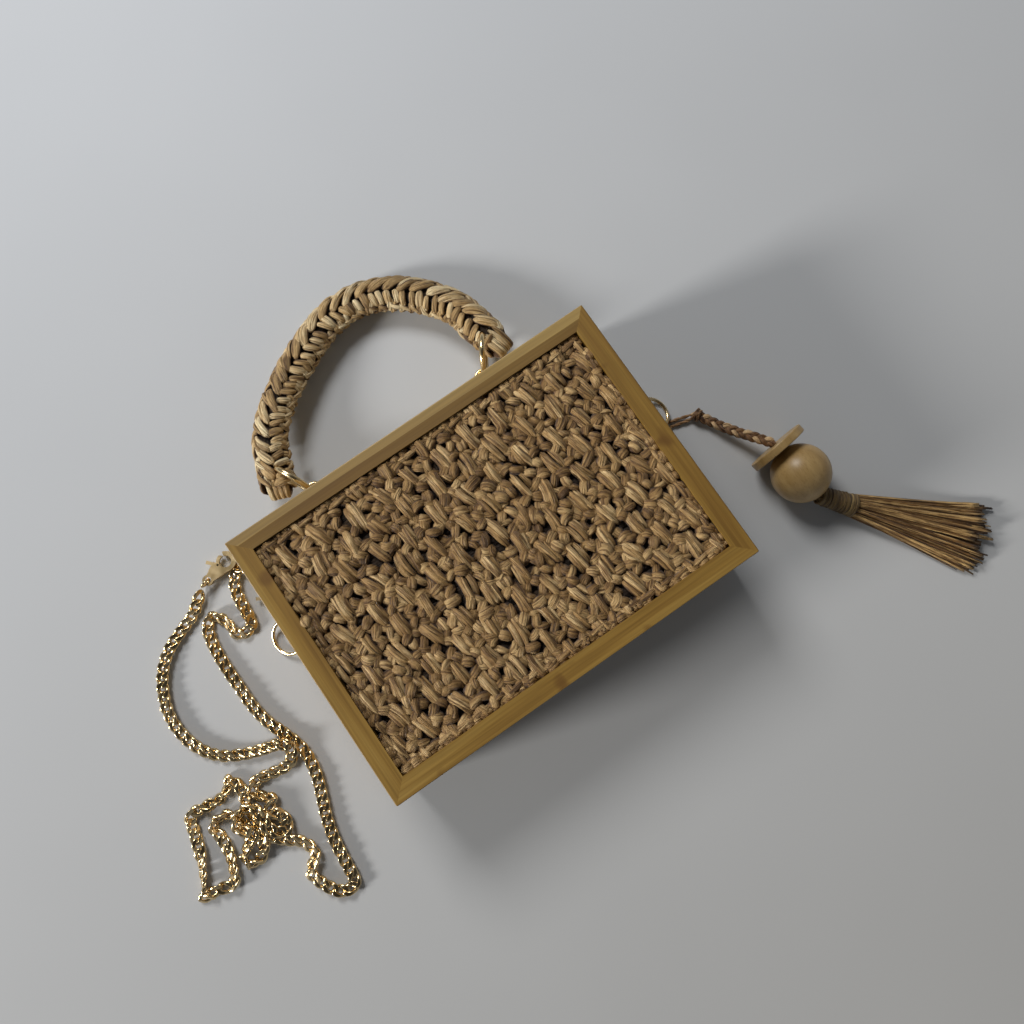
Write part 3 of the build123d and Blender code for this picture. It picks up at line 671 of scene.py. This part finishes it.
def eye_raffia(stitch):
    """Raffia wound round the shank of each handle eye, with a few ends left loose along the wall.

    A turn is a circle about the shank whose distance from the wall grows a little along it; a loose
    end runs along the wall and sinks as its distance squared.
    """
    rng = np.random.default_rng(91)
    t = np.linspace(0, 2 * math.pi, 20)[None]
    bundles = []
    for node, ends in (("handle_eye_left", -1.0), ("handle_eye_right", 1.0)):
        x, _, z = middle_of(node)
        away = WALL_Y + 0.75 + np.arange(2)[:, None] * 0.8
        reach = rng.uniform(1.7, 2.1, (2, 1))
        turns = np.stack([
            x + reach * np.cos(t),
            away + 0.15 * np.sin(t + rng.uniform(0, 6, (2, 1))),
            z + reach * np.sin(t),
        ], axis=-1)
        facing = np.stack([np.cos(t), 0 * t, np.sin(t)], axis=-1)
        bundles.append(strands(turns, 0.6, 0.6, facing, 9, 0.2, 92, 40.0, 0.5, 0.5))
        v = np.linspace(0, 1, 12)[None]
        span = rng.uniform(7.0, 13.0, (6, 1)) * rng.choice([-0.7, 1.0], (6, 1)) * ends
        start_z = z + rng.uniform(0.0, 2.0, (6, 1))
        off_wall = WALL_Y + 0.7 + rng.uniform(0.0, 0.7, (6, 1))
        loose = np.stack([
            x + span * v,
            off_wall + 0.2 * np.sin(3 * v + rng.uniform(0, 3, (6, 1))) * v,
            start_z + rng.uniform(0.0, 2.0, (6, 1)) * v - rng.uniform(1.0, 4.0, (6, 1)) * v**2,
        ], axis=-1)
        bundles.append(strands(loose, 0.45, 0.35, UP, 8, 0.2, 93, 8.0, 0.5, 0.3))
    assemble("eye_raffia", bundles, stitch, "back_shell")


def carrying_handle(stitch, ground):
    """The handle: a core coloured near black as painted shade between the strands, a plaited ridge
    on the outer half and ribs on the inner half.
    """
    eye_height = 15.0
    line = nurbs_points([(x, y, eye_height) for x, y in handle_line])
    total = line_length(line)
    centre, _ = along_line(line, np.linspace(0.5, total - 0.5, 60))
    core = strands(
        droop(centre)[None], HANDLE_WIDE - 0.9, HANDLE_THICK - 0.8, UP, 20, 0.0, 5, 40.0, 0.5, 0.4
    )
    # the core's near-black colour is painted shade showing between the strands
    assemble("handle_core", [core], ground, "handle")
    # start, margin at the end, pitch, span, angles, half width, half thickness, seed, jitter, lift
    rows = [
        (0.6, 13.0, 7.6, 12.5, (-22, 44), 2.5, 1.5, 31, 1.4, 0.4),
        (4.4, 13.0, 7.6, 12.5, (94, 30), 2.6, 1.5, 32, 1.4, 0.6),
        (2.0, 13.0, 8.7, 11.0, (74, 18), 1.3, 1.0, 40, 2.4, 1.4),
        (3.0, 10.0, 7.0, 11.0, (-8, -50), 2.4, 1.5, 33, 1.2, 0.0),
        (1.5, 3.0, 4.6, 3.4, (88, 158), 1.9, 1.4, 34, 0.9, 0.1),
        (3.5, 3.0, 4.6, -2.6, (128, 192), 1.7, 1.3, 35, 0.9, 0.1),
        (2.0, 3.0, 6.4, 6.5, (150, 172), 1.2, 1.0, 41, 1.2, 0.9),
        (2.0, 3.0, 5.4, 2.0, (196, 250), 2.2, 1.5, 36, 0.5, 0.0),
        (3.0, 3.0, 5.4, -2.0, (242, 306), 2.2, 1.5, 37, 0.5, 0.0),
    ]
    bundles = [handle_row(line, start, total - margin, *rest) for start, margin, *rest in rows]
    bundles += [handle_end(line, True, 38), handle_end(line, False, 39)]
    assemble("crocheted_handle", bundles, stitch, "handle", ["carrying_handle"])


# ------------------------------------------------------------------ chain strap
near_run = [
    (-107.5, 64.0, 3.0), (-110.0, 70.0, 2.3), (-116.5, 69.0, 2.2), (-120.5, 61.5, 2.2),
    (-121.6, 51.0, 2.2), (-122.2, 40.5, 2.2), (-132.0, 40.0, 2.2), (-132.4, 50.0, 2.2),
    (-136.5, 57.5, 2.2), (-143.0, 54.0, 2.2), (-145.2, 42.5, 2.2), (-145.6, 30.0, 2.2),
    (-145.2, 17.5, 2.2), (-145.0, 6.0, 2.2), (-142.6, -5.5, 2.2), (-137.8, -16.0, 2.2),
    (-134.8, -27.5, 2.2), (-136.2, -39.5, 2.2), (-140.4, -51.0, 2.2), (-144.6, -62.0, 2.2),
    (-147.0, -73.5, 2.2), (-148.0, -85.0, 2.2), (-148.8, -97.0, 2.2), (-158.0, -95.5, 2.2),
    (-163.0, -87.0, 2.2), (-166.0, -78.0, 2.2), (-157.5, -73.5, 2.2), (-159.0, -64.5, 2.2),
    (-166.0, -58.5, 3.2),
]
heap_run = [
    (-172.0, -52.0, 3.4), (-180.0, -45.0, 2.6), (-180.0, -34.0, 2.4), (-186.0, -30.0, 2.4),
    (-194.0, -31.0, 2.4), (-192.0, -41.0, 2.4), (-195.0, -54.0, 2.4), (-200.0, -63.0, 2.4),
    (-208.0, -58.0, 2.6), (-216.0, -60.5, 2.6), (-211.0, -51.0, 2.4), (-206.0, -41.0, 2.4),
    (-202.5, -30.0, 2.4), (-200.5, -20.0, 2.4), (-190.0, -22.0, 2.4), (-180.0, -23.0, 2.4),
    (-175.0, -15.5, 2.4), (-170.5, -25.0, 2.6), (-175.0, -36.0, 3.0), (-172.5, -44.0, 5.6),
    (-176.0, -55.0, 4.4), (-184.0, -60.0, 2.6), (-190.5, -56.0, 2.6), (-184.0, -49.5, 4.6),
    (-175.5, -46.5, 6.6), (-183.5, -40.0, 6.6), (-177.0, -32.5, 6.4), (-168.5, -37.0, 6.2),
    (-170.5, -50.0, 5.8), (-163.0, -56.0, 3.0), (-160.5, -47.0, 3.0), (-166.5, -42.0, 4.6),
    (-160.5, -38.0, 2.8), (-165.5, -33.0, 2.6),
]
far_run = [
    (-168.5, -29.5, 2.8), (-163.5, -24.5, 2.2), (-154.5, -27.0, 2.2), (-144.5, -28.6, 2.4),
    (-138.5, -22.5, 5.6), (-142.5, -16.6, 4.8), (-152.0, -14.6, 2.2), (-163.0, -10.4, 2.2),
    (-172.5, -4.6, 2.2), (-179.0, 4.4, 2.2), (-182.4, 15.5, 2.2), (-182.6, 27.5, 2.2),
    (-179.0, 38.5, 2.2), (-173.0, 48.5, 2.2), (-164.0, 56.0, 2.2), (-153.0, 60.2, 2.2),
    (-143.0, 64.0, 2.4), (-136.0, 70.5, 3.0),
]
CHAIN_WIDTH = 6.5
LINK_LENGTH = 9.2
LINK_WIRE = 2.2
LINK_PITCH = 5.1
LINK_RISE = 1.25
LINK_FLAT = 1.25  # the wire is filed flat this far above and below the link's middle


def curb_links(line, seed):
    """All the chain's links at once.

    A link's wire follows an oval, half its length times the cosine of t ahead and half its width
    times the sine of t aside, and rises as the sine of 2 t, so that neighbours lie into each other.
    The wire is round, and its rise is cut off flat above and below like a filed curb link.
    """
    rng = np.random.default_rng(seed)
    total = line_length(line)
    count = int(total / LINK_PITCH)
    places = (np.arange(count) + 0.5) * total / count
    centre, ahead = along_line(line, places)
    level, over = cross_ways(ahead)
    wander = np.cumsum(rng.normal(0, 0.16, count))
    wander = wander - np.interp(places, places[::20], wander[::20])
    in_heap = np.clip((-150.0 - centre[:, 0]) / 25.0, 0, 1)
    in_heap = in_heap * np.clip((10.0 - centre[:, 1]) / 20.0, 0, 1)
    roll = wander * 0.7 + in_heap * 0.95 * np.sin(places / 9.0 + 1.0)
    side = turned_way(level, over, roll)
    lift = np.cross(ahead, side)
    steps, around = 24, 10
    t = np.linspace(0, 2 * math.pi, steps, endpoint=False)
    a = (LINK_LENGTH - LINK_WIRE) / 2
    b = (CHAIN_WIDTH - LINK_WIRE) / 2
    oval = np.stack([a * np.cos(t), b * np.sin(t), LINK_RISE * np.sin(2 * t)], axis=-1)
    way = unit(np.stack([-a * np.sin(t), b * np.cos(t), 2 * LINK_RISE * np.cos(2 * t)], axis=-1))
    out = unit(np.cross(way, UP))
    top = np.cross(out, way)
    turn = np.linspace(0, 2 * math.pi, around, endpoint=False)[None, :, None]
    wire = out[:, None] * np.cos(turn) + top[:, None] * np.sin(turn)
    ring = oval[:, None] + LINK_WIRE / 2 * wire
    ring[..., 2] = np.clip(ring[..., 2], -LINK_FLAT, LINK_FLAT)
    link = ring.reshape(-1, 3)
    points = (centre[:, None] + ahead[:, None] * link[None, :, :1]
              + side[:, None] * link[None, :, 1:2] + lift[:, None] * link[None, :, 2:])
    points = points.reshape(-1, 3)
    here = np.arange(steps)[:, None] * around + np.arange(around)[None]
    onward = np.roll(here, -1, axis=0)
    corners = [here, onward, np.roll(onward, -1, axis=1), np.roll(here, -1, axis=1)]
    one = np.stack(corners, axis=-1).reshape(-1, 4)
    quads = (one[None] + (np.arange(count) * len(link))[:, None, None]).reshape(-1, 4)
    return points, quads, np.zeros((0, 3), dtype=int), points, np.zeros(len(points))


def chain_strap(metal):
    """The loose chain: one run of curb links, from clasp to clasp through the heap."""
    line = nurbs_points(near_run + heap_run + far_run)
    runs = ["chain_near_run", "chain_heap", "chain_far_run"]
    links = assemble("chain_links", [curb_links(line, 17)], metal, "back_shell", runs)


# ------------------------------------------------------------------ charm
loop_run = [
    (129.5, 2.2, 2.6), (122.4, 4.6, 1.2), (114.2, 6.8, 0.95), (110.6, 8.4, 6.0),
    (106.4, 9.2, 10.9), (101.7, 9.1, 11.5), (101.7, 9.1, 4.6), (107.0, 8.0, 4.2),
    (112.0, 4.7, 1.2), (121.2, 2.0, 0.95), (129.7, 0.2, 2.3),
]
braid_run = [
    (131.0, 1.0, 3.4), (135.5, -8.0, 4.4), (140.0, -16.5, 7.4), (144.8, -24.6, 11.2),
    (150.9, -33.4, 15.0), (152.2, -44.0, 15.4), (153.5, -55.2, 15.4), (155.0, -67.4, 14.8),
    (156.4, -73.0, 12.6),
]


def winding(line, strand_count, pitch, steps):
    """What strands that wind about a line share: its points, its cross ways and their angles.

    An angle grows by a full turn every pitch, and the strands share one turn equally.
    """
    run = np.linspace(0.2, line_length(line) - 0.2, steps)
    centre, ahead = along_line(line, run)
    first = np.arange(strand_count) * 2 * math.pi / strand_count
    return centre, *cross_ways(ahead), 2 * math.pi * run[None] / pitch + first[:, None]


def helix_lines(line, strand_count, radius, pitch, steps):
    """Twisted strands: the line's point plus the cross ways times the radius times the cosine and
    sine of the angle."""
    centre, side, over, angle = winding(line, strand_count, pitch, steps)
    lines = centre + turned_way(side, over, angle) * radius
    return lines, unit(lines - centre)


def plait_lines(line, across, lift, pitch, steps):
    """Three plaited strands: each swings aside as the sine of its angle, and rises as the sine of
    twice the angle."""
    centre, side, over, angle = winding(line, 3, pitch, steps)
    aside = (across * np.sin(angle))[..., None]
    rise = (lift * np.sin(2 * angle))[..., None]
    return centre + side * aside + over * rise, over


def loose_fibres(line, count, reach, length, rng, seed):
    """Stray fibres that leave a line of points at a slant.

    A fibre goes ahead as v and stands out from the line by a bow that grows as v to the power 1.5.
    """
    place, ahead = along_line(line, rng.uniform(0, line_length(line), count))
    side, over = cross_ways(ahead)
    out = turned_way(side, over, rng.uniform(0, 2 * math.pi, count))
    v = np.linspace(0, 1, 8)[None, :, None]
    slant = ahead[:, None] * rng.uniform(0.4, 1.0, (count, 1, 1)) * length * v
    bow = out[:, None] * (reach * 0.6 + reach * rng.uniform(0.2, 0.9, (count, 1, 1)) * v**1.5)
    lines = place[:, None] + slant + bow
    lines[..., 2] = np.maximum(lines[..., 2], 0.4)
    return strands(lines, 0.28, 0.16, out[:, None], 5, 0.0, seed, 8.0, 0.5, 0.3)


def charm_cords(twine):
    """The loop round the strap ring, and the plaited cord with its knot.

    Past the disc the plait draws in to pass through the beads. The knot is most of a circle about
    its middle, many times over, each turned by its own tilt.
    """
    knot_place, knot_turns = np.array([131.2, 0.6, 3.6]), 8
    into_disc, draw_in = 41.0, 4.0
    loop = nurbs_points(loop_run)
    lines, outward = helix_lines(loop, 2, 0.42, 9.0, 90)
    strand = strands(lines, 0.62, 0.5, outward, 8, 0.12, 51, 30.0, 0.5, 0.4)
    loop_piece = assemble("charm_loop_twine", [strand], twine, "back_shell",
                          ["charm_loop"])
    braid = nurbs_points(braid_run)
    steps = 130
    run = np.linspace(0, line_length(braid), steps)
    inside = np.clip((run - into_disc) / draw_in, 0, 1)
    lines, outward = plait_lines(braid, 1.55 - 0.95 * inside, 0.85 - 0.45 * inside, 11.5, steps)
    wide = (1.25 - 0.5 * inside)[None]
    bundles = [strands(lines, wide, wide * 0.78, outward, 10, 0.22, 52, 40.0, 0.5, 0.5)]
    rng = np.random.default_rng(53)
    bundles.append(loose_fibres(braid[: len(braid) * 2 // 3], 34, 1.9, 6.5, rng, 55))
    t = np.linspace(0, 2 * math.pi * 0.93, 22)[None]
    tilt = rng.uniform(-0.9, 0.9, (knot_turns, 1))
    middle = knot_place + rng.normal(0, 0.6, (knot_turns, 1, 3))
    size = rng.uniform(1.9, 2.9, (knot_turns, 1))
    level = size * np.cos(t)
    turned = np.stack([level * np.cos(tilt), level * np.sin(tilt), size * np.sin(t)], axis=-1)
    knot = middle + turned
    knot[..., 2] = np.maximum(knot[..., 2], 0.9)
    bundles.append(strands(knot, 0.85, 0.75, turned, 8, 0.1, 54, 10.0, 0.5, 0.3))
    piece = assemble("charm_twisted_cord", bundles, twine, "back_shell", ["charm_cord"])
    return piece, braid


def tassel_binding(start, down, aside, rng):
    """The neck's binding turns over the gathered ends of the ribbons.

    A turn is a circle about the neck, slanted as the sine of its angle. A gathered end keeps to
    the neck while its distance from the middle grows as a quarter sine.
    """
    over = -np.cross(down, aside)
    turns = 19
    t = np.linspace(0, 2 * math.pi, 26)[None]
    place = np.linspace(1.6, 20.5, turns)[:, None]
    place = place + 0.45 * np.sin(t + rng.uniform(0, 6, (turns, 1)))
    reach = np.linspace(4.3, 5.6, turns)[:, None] + rng.normal(0, 0.12, (turns, 1))
    way = turned_way(aside, over, t)
    lines = start + down * place[..., None] + way * reach[..., None]
    binding = strands(lines, 0.95, 0.6, way, 8, 0.1, 62, 60.0, 0.5, 0.6)

    ends, first_reach = 26, 2.6
    v = np.linspace(0, 1, 12)[None]
    angle = rng.uniform(0, 2 * math.pi, (ends, 1)) + 0.5 * v
    last_reach = 4.0 + rng.normal(0, 0.25, (ends, 1))
    reach = first_reach + (last_reach - first_reach) * np.sin(v * math.pi / 2) ** 0.8
    way = turned_way(aside, over, angle)
    lines = start + down * (v * 19.0)[..., None] + way * reach[..., None]
    return [binding, strands(lines, 1.25, 0.6, way, 8, 0.12, 63, 12.0, 0.5, 0.5)]


def tassel_ribbons(waist, flat, aside, rng):
    """The fan of raffia ribbons that lies on the resting plane.

    Aside, a ribbon goes from its place in the waist to its place in the fan as v to the power
    1.15, with a slow sine wave; its height falls as v to the power 0.8 and then stays.
    """
    count, skirt_length, fan_half, sink = 230, 68.0, 18.3, 3.0
    v = np.linspace(0, 1, 16)[None]
    spread = rng.uniform(-1, 1, (count, 1))
    level = rng.uniform(0, 1, (count, 1))
    length = skirt_length + rng.normal(0, 2.6, (count, 1)) + 2.0 * np.sin(spread * 7.0)
    end_side = spread * fan_half
    end_height = 0.7 + level * 6.6 * (1 - 0.55 * spread**2)
    start_side = spread * 4.9 * np.cos(rng.uniform(-1, 1, (count, 1)) * 0.3)
    round_waist = np.sqrt(np.maximum(1 - spread**2, 0.05)) * 4.3
    start_height = waist[2] + (level - 0.5) * 2 * round_waist
    size = rng.normal(0, 0.55, (count, 1))
    wave = size * np.sin(v * rng.uniform(3, 9, (count, 1)) + rng.uniform(0, 6, (count, 1)))
    lateral = start_side + (end_side - start_side) * v**1.15 + wave * v
    sag = start_height + (end_height - start_height) * np.minimum(v * 1.45, 1) ** 0.8
    height = np.maximum(sag + wave * 0.5 * v, 0.5)
    start = np.array([waist[0], waist[1], 0.0]) - flat * sink
    lines = (start + flat * (v * (length + sink))[..., None] + aside * lateral[..., None]
             + UP * height[..., None])
    tilt = rng.uniform(-1.1, 1.1, (count, 1, 1))
    up = UP * np.cos(tilt) + aside * np.sin(tilt)
    width = rng.uniform(0.5, 1.25, (count, 1))
    return strands(lines, width, 0.3, up, 8, 0.2, 64, 60.0, 0.5, 0.7)


def tassel(twine, binding_twine):
    """The bound neck, from the ball down to the waist, and the ribbons from there on."""
    ball_reach, start_height, neck_length, neck_drop = 14.2, 11.6, 20.0, 4.9
    heading, ball_exit = math.radians(-49.0), math.radians(-83.0)
    exit_way = np.array([math.cos(ball_exit), math.sin(ball_exit), 0.0])
    start = middle_of("charm_ball") + exit_way * ball_reach
    start[2] = start_height
    flat = np.array([math.cos(heading), math.sin(heading), 0.0])
    aside = np.array([-math.sin(heading), math.cos(heading), 0.0])
    waist = start + flat * neck_length - UP * neck_drop
    rng = np.random.default_rng(61)
    neck = assemble("tassel_binding", tassel_binding(start, unit(waist - start), aside, rng),
                    binding_twine, "back_shell", ["tassel_neck"])
    skirt = assemble("tassel_ribbons", [tassel_ribbons(waist, flat, aside, rng)],
                     twine, "back_shell", ["tassel_skirt"])
    return neck, skirt


def charm(twine, tassel_twine, binding_twine):
    """The charm's cords and its tassel."""
    piece, line = charm_cords(twine)
    neck, skirt = tassel(tassel_twine, binding_twine)


# ------------------------------------------------------------------ frame finishes, room, camera
def finish_frame_nodes():
    """Gives every frame node the finish that fits its name's end, and returns the plating."""
    plating = gold("gold_plating")
    finishes = [
        (("left_rail", "right_rail"), bamboo("bamboo_side_rails", "Y")),
        (("top_rail",), bamboo("bamboo_top_rails", "X", two_tone=True)),
        (("bottom_rail",), bamboo("bamboo_bottom_rails", "X")),
        (("lining_board",), lining_cloth()),
        (("magnet", "screws"), nickel()),
        (("leaf", "hinge_pin"), gold("hinge_brass", 0.26)),
        (("clasp_body", "clasp_gate"), gold("cast_clasp_gold", 0.42)),
        (("charm_ball",), turned_wood("turned_ball_wood", (160, 34, 160))),
        (("charm_disc",), turned_wood("turned_disc_wood", (150, 60, 150))),
        (("",), plating),
    ]
    for name, piece in frame["nodes"].items():
        chosen = next(finish for endings, finish in finishes if name.endswith(endings))
        if not piece.material_slots:
            piece.data.materials.append(chosen)
        for holder in piece.material_slots:
            holder.material = chosen
    return plating


def room():
    """A pale floor, soft windows behind and to the left of the case, and a sky, darker overhead."""
    bpy.ops.mesh.primitive_plane_add(size=6.0, location=(0, 0, -0.0001))
    floor = bpy.context.object
    floor.name = "floor"
    floor.data.materials.append(floor_paint())
    lights = [
        ("window", (-0.05, 1.45, 1.40), 0.8, 21.0, (1.0, 0.985, 0.965)),
        ("side_window", (-4.00, 0.75, 1.55), 0.9, 150.0, (1.0, 0.97, 0.93)),
    ]
    for name, place, size, power, colour in lights:
        data = bpy.data.lights.new(name, "AREA")
        data.shape = "DISK"
        data.size = size
        data.energy = power
        data.color = colour
        lamp = bpy.data.objects.new(name, data)
        bpy.context.scene.collection.objects.link(lamp)
        lamp.matrix_world = Matrix.Translation(place) @ look_back_from(place)
    world = bpy.data.worlds.new("sky")
    world.use_nodes = True
    tree = world.node_tree
    steepness = axis_of(tree, object_place(tree), "Z")
    glow = ramp(tree, steepness, [(0.62, (0.190, 0.196, 0.204)), (0.86, (0.030, 0.030, 0.031))])
    tree.links.new(glow, tree.nodes["Background"].inputs["Color"])
    bpy.context.scene.world = world
    bpy.context.scene.view_settings.view_transform = "Standard"


def look_back_from(place):
    """A turn that points an object's -Z axis from a place to the origin."""
    back = unit(np.array(place))
    right, over = cross_ways(back)
    return Matrix([[right[k], over[k], back[k], 0] for k in range(3)] + [[0, 0, 0, 1]])


def camera():
    """The camera, almost straight above the case and turned by a third of a right angle."""
    data = bpy.data.cameras.new("camera")
    data.sensor_width = 36.0
    data.lens = 31.64
    data.clip_start = 0.01
    seen = bpy.data.objects.new("camera", data)
    bpy.context.scene.collection.objects.link(seen)
    place = (-0.012877, -0.030613, 0.471160)
    turn = Euler([math.radians(angle) for angle in (6.7699, -0.3163, -34.6185)])
    seen.matrix_world = Matrix.Translation(place) @ turn.to_matrix().to_4x4()
    bpy.context.scene.camera = seen


camera()
room()
gold_metal = finish_frame_nodes()
panel_raffia = raffia(
    "crochet_raffia", (0.110, 0.048, 0.012), (0.430, 0.254, 0.086), (0.980, 0.730, 0.380),
    tone_share=0.25, edge=1.15)
# a darker copy of the crochet raffia: painted shade for the knots, which lie lower than the long
# stitches
shaded_knot_raffia = raffia(
    "shaded_knot_raffia", (0.085, 0.037, 0.009), (0.330, 0.188, 0.060), (0.860, 0.600, 0.280),
    tone_share=0.32, edge=1.30)
# near-black raffia for the ground under the stitches: painted shade in the gaps
gap_shade_raffia = raffia(
    "gap_shade_raffia", (0.018, 0.009, 0.004), (0.040, 0.022, 0.010), (0.080, 0.046, 0.022))
handle_raffia = raffia(
    "handle_raffia", (0.180, 0.098, 0.030), (0.600, 0.400, 0.172), (1.000, 0.850, 0.540), edge=0.8)
# near-black raffia for the handle core: painted shade between the strands
handle_core_shade = raffia(
    "handle_core_shade", (0.030, 0.015, 0.006), (0.070, 0.038, 0.015), (0.130, 0.078, 0.034))
cord_twine = raffia(
    "cord_twine", (0.120, 0.050, 0.016), (0.380, 0.210, 0.090), (0.860, 0.600, 0.320),
    tone_share=0.6)
tassel_twine = raffia(
    "tassel_twine", (0.040, 0.016, 0.004), (0.235, 0.118, 0.032), (0.760, 0.500, 0.200),
    tone_share=0.7)
binding_twine = raffia(
    "binding_twine", (0.060, 0.034, 0.009), (0.200, 0.124, 0.038), (0.420, 0.290, 0.110),
    tone_share=0.4)
chain_strap(gold_metal)
charm(cord_twine, tassel_twine, binding_twine)
crocheted_panels(panel_raffia, shaded_knot_raffia, gap_shade_raffia)
carrying_handle(handle_raffia, handle_core_shade)
eye_raffia(handle_raffia)

bpy.context.view_layer.update()
